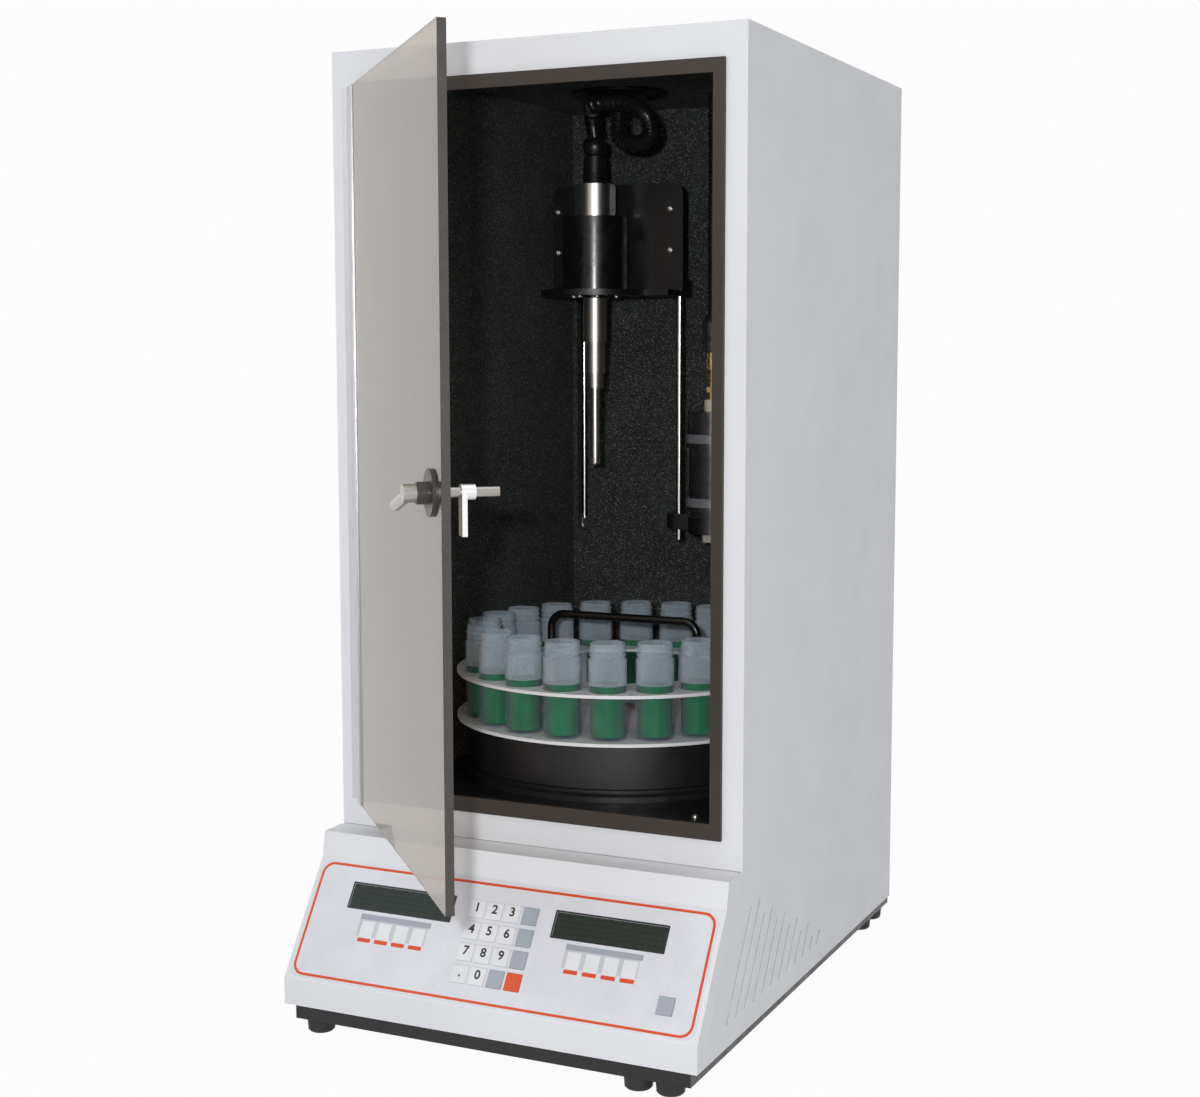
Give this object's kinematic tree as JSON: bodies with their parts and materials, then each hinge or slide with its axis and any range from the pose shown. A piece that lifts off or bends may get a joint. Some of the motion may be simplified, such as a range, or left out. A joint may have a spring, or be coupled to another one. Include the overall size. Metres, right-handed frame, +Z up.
{
  "type": "automated probe homogenizer station",
  "caption": "Tall sound-lined lab cabinet with tinted door, lifting rotor-stator probe, jar carousel and slanted keypad console.",
  "frame": {"origin": "centre of the bounding box on the table, with the door standing open as pictured", "axes": "+X to the right, +Y to the rear, +Z up"},
  "size_m": [0.4, 0.763, 0.879],
  "materials": {
    "painted_sheet": "satin powder coat, off-white",
    "base_black": "satin black",
    "foot_rubber": "matt black rubber",
    "overlay_print": "satin printed film",
    "display_glass": "dark green-black display window",
    "gasket_rubber": "dark brown rubber",
    "foam": "charcoal speckled acoustic foam",
    "liner_black": "satin black",
    "hinge_metal": "bright nickel",
    "tinted_acrylic": "smoke-tinted clear sheet",
    "latch_metal": "polished",
    "drum_black": "black powder coat",
    "motor_grey": "satin dark grey",
    "plate_white": "white anodised",
    "handle_black": "gloss black",
    "jar_plastic": "frosted translucent plastic",
    "head_black": "satin black",
    "cap_aluminium": "satin turned",
    "boot_rubber": "black rubber",
    "probe_steel": "satin stainless",
    "lift_steel": "ground steel",
    "barrel_plastic": "black and smoke plastic",
    "fitting_brass": "plated",
    "key_white": "satin",
    "key_grey": "satin",
    "key_orange": "satin"
  },
  "bodies": {
    "cabinet": {"base_plate": "base_black", "rubber_feet": "foot_rubber", "cabinet_shell": "painted_sheet", "back_panel": "painted_sheet", "console_housing": "painted_sheet", "control_overlay": "overlay_print", "displays": "display_glass", "door_gasket": "gasket_rubber", "foam_lining": "foam", "chamber_liner": "liner_black", "hinge_fixed_leaf": "hinge_metal", "carousel_drum": "drum_black", "turntable_motor": "motor_grey", "lift_frame": "lift_steel", "lift_motor": "motor_grey", "power_inlet": "barrel_plastic", "ceiling_port": "liner_black", "support_arm": "head_black", "guide_rod": "lift_steel", "dispenser_barrel": "barrel_plastic", "dispenser_fitting": "fitting_brass", "dispenser_nozzle": "probe_steel", "dispenser_hose": "boot_rubber", "conduit": "boot_rubber"},
    "door": {"door_panel": "tinted_acrylic", "hinge_door_leaf": "hinge_metal", "latch_rosette": "latch_metal"},
    "latch": {"latch_lever": "latch_metal", "latch_cam": "latch_metal"},
    "carousel": {"turntable_hub": "lift_steel", "lower_plate": "plate_white", "upper_plate": "plate_white", "carry_handle": "handle_black", "sample_jars": "jar_plastic"},
    "head": {"head_plate": "head_black", "motor_shelf": "head_black", "lift_carriage": "lift_steel", "motor_body": "head_black", "motor_cap": "cap_aluminium", "conduit_boot": "boot_rubber", "stator_probe": "probe_steel"},
    "rotor": {"rotor_shaft": "probe_steel"},
    "screw": {"lead_screw": "lift_steel"},
    "key_1": {"press_key_1": "key_white"},
    "key_2": {"press_key_2": "key_white"},
    "key_3": {"press_key_3": "key_white"},
    "key_print": {"press_key_print": "key_grey"},
    "key_4": {"press_key_4": "key_white"},
    "key_5": {"press_key_5": "key_white"},
    "key_6": {"press_key_6": "key_white"},
    "key_prog": {"press_key_prog": "key_grey"},
    "key_7": {"press_key_7": "key_white"},
    "key_8": {"press_key_8": "key_white"},
    "key_9": {"press_key_9": "key_white"},
    "key_menu": {"press_key_menu": "key_grey"},
    "key_point": {"press_key_point": "key_white"},
    "key_0": {"press_key_0": "key_white"},
    "key_clear": {"press_key_clear": "key_grey"},
    "key_enter": {"press_key_enter": "key_orange"},
    "key_start": {"press_key_start": "key_grey"}
  },
  "joints": [
    {"name": "door_swing", "type": "hinge", "parent": "cabinet", "child": "door", "pos_m": [-0.175, -0.10447, 0.52], "axis": [0, 0, -1], "range_deg": [-47.6, 52.4]},
    {"name": "head_lift", "type": "slide", "parent": "cabinet", "child": "head", "axis": [0, 0, -1], "range_m": [0, 0.222], "deforming": ["conduit"]},
    {"name": "carousel_turn", "type": "hinge", "parent": "cabinet", "child": "carousel", "pos_m": [0.004, 0.09003, 0.261], "axis": [0, 0, 1], "continuous": true},
    {"name": "latch_turn", "type": "hinge", "parent": "door", "child": "latch", "pos_m": [0.05291, -0.35407, 0.507], "axis": [-0.7385, -0.6743, 0], "range_deg": [0, 90]},
    {"name": "rotor_spin", "type": "hinge", "parent": "head", "child": "rotor", "pos_m": [-0.07749, 0.20016, 0.6], "axis": [0, 0, 1], "continuous": true},
    {"name": "lift_screw_turn", "type": "hinge", "parent": "cabinet", "child": "screw", "pos_m": [-0.12575, 0.35483, 0.6], "axis": [0, 0, 1], "range_deg": [-30, 10020]},
    {"name": "press_1", "type": "slide", "parent": "cabinet", "child": "key_1", "axis": [0, 0.8277, -0.5612], "range_m": [0, 0.0005], "stiffness_N_per_m": 1500, "springref_m": -0.0003},
    {"name": "press_2", "type": "slide", "parent": "cabinet", "child": "key_2", "axis": [0, 0.8277, -0.5612], "range_m": [0, 0.0005], "stiffness_N_per_m": 1500, "springref_m": -0.0003},
    {"name": "press_3", "type": "slide", "parent": "cabinet", "child": "key_3", "axis": [0, 0.8277, -0.5612], "range_m": [0, 0.0005], "stiffness_N_per_m": 1500, "springref_m": -0.0003},
    {"name": "press_print", "type": "slide", "parent": "cabinet", "child": "key_print", "axis": [0, 0.8277, -0.5612], "range_m": [0, 0.0005], "stiffness_N_per_m": 1500, "springref_m": -0.0003},
    {"name": "press_4", "type": "slide", "parent": "cabinet", "child": "key_4", "axis": [0, 0.8277, -0.5612], "range_m": [0, 0.0005], "stiffness_N_per_m": 1500, "springref_m": -0.0003},
    {"name": "press_5", "type": "slide", "parent": "cabinet", "child": "key_5", "axis": [0, 0.8277, -0.5612], "range_m": [0, 0.0005], "stiffness_N_per_m": 1500, "springref_m": -0.0003},
    {"name": "press_6", "type": "slide", "parent": "cabinet", "child": "key_6", "axis": [0, 0.8277, -0.5612], "range_m": [0, 0.0005], "stiffness_N_per_m": 1500, "springref_m": -0.0003},
    {"name": "press_prog", "type": "slide", "parent": "cabinet", "child": "key_prog", "axis": [0, 0.8277, -0.5612], "range_m": [0, 0.0005], "stiffness_N_per_m": 1500, "springref_m": -0.0003},
    {"name": "press_7", "type": "slide", "parent": "cabinet", "child": "key_7", "axis": [0, 0.8277, -0.5612], "range_m": [0, 0.0005], "stiffness_N_per_m": 1500, "springref_m": -0.0003},
    {"name": "press_8", "type": "slide", "parent": "cabinet", "child": "key_8", "axis": [0, 0.8277, -0.5612], "range_m": [0, 0.0005], "stiffness_N_per_m": 1500, "springref_m": -0.0003},
    {"name": "press_9", "type": "slide", "parent": "cabinet", "child": "key_9", "axis": [0, 0.8277, -0.5612], "range_m": [0, 0.0005], "stiffness_N_per_m": 1500, "springref_m": -0.0003},
    {"name": "press_menu", "type": "slide", "parent": "cabinet", "child": "key_menu", "axis": [0, 0.8277, -0.5612], "range_m": [0, 0.0005], "stiffness_N_per_m": 1500, "springref_m": -0.0003},
    {"name": "press_point", "type": "slide", "parent": "cabinet", "child": "key_point", "axis": [0, 0.8277, -0.5612], "range_m": [0, 0.0005], "stiffness_N_per_m": 1500, "springref_m": -0.0003},
    {"name": "press_0", "type": "slide", "parent": "cabinet", "child": "key_0", "axis": [0, 0.8277, -0.5612], "range_m": [0, 0.0005], "stiffness_N_per_m": 1500, "springref_m": -0.0003},
    {"name": "press_clear", "type": "slide", "parent": "cabinet", "child": "key_clear", "axis": [0, 0.8277, -0.5612], "range_m": [0, 0.0005], "stiffness_N_per_m": 1500, "springref_m": -0.0003},
    {"name": "press_enter", "type": "slide", "parent": "cabinet", "child": "key_enter", "axis": [0, 0.8277, -0.5612], "range_m": [0, 0.0005], "stiffness_N_per_m": 1500, "springref_m": -0.0003},
    {"name": "press_start", "type": "slide", "parent": "cabinet", "child": "key_start", "axis": [0, 0.8277, -0.5612], "range_m": [0, 0.0005], "stiffness_N_per_m": 1500, "springref_m": -0.0003}
  ],
  "couplings": [
    {"joint": "lift_screw_turn", "follows": "head_lift", "rad_per_m": 785.4}
  ]
}
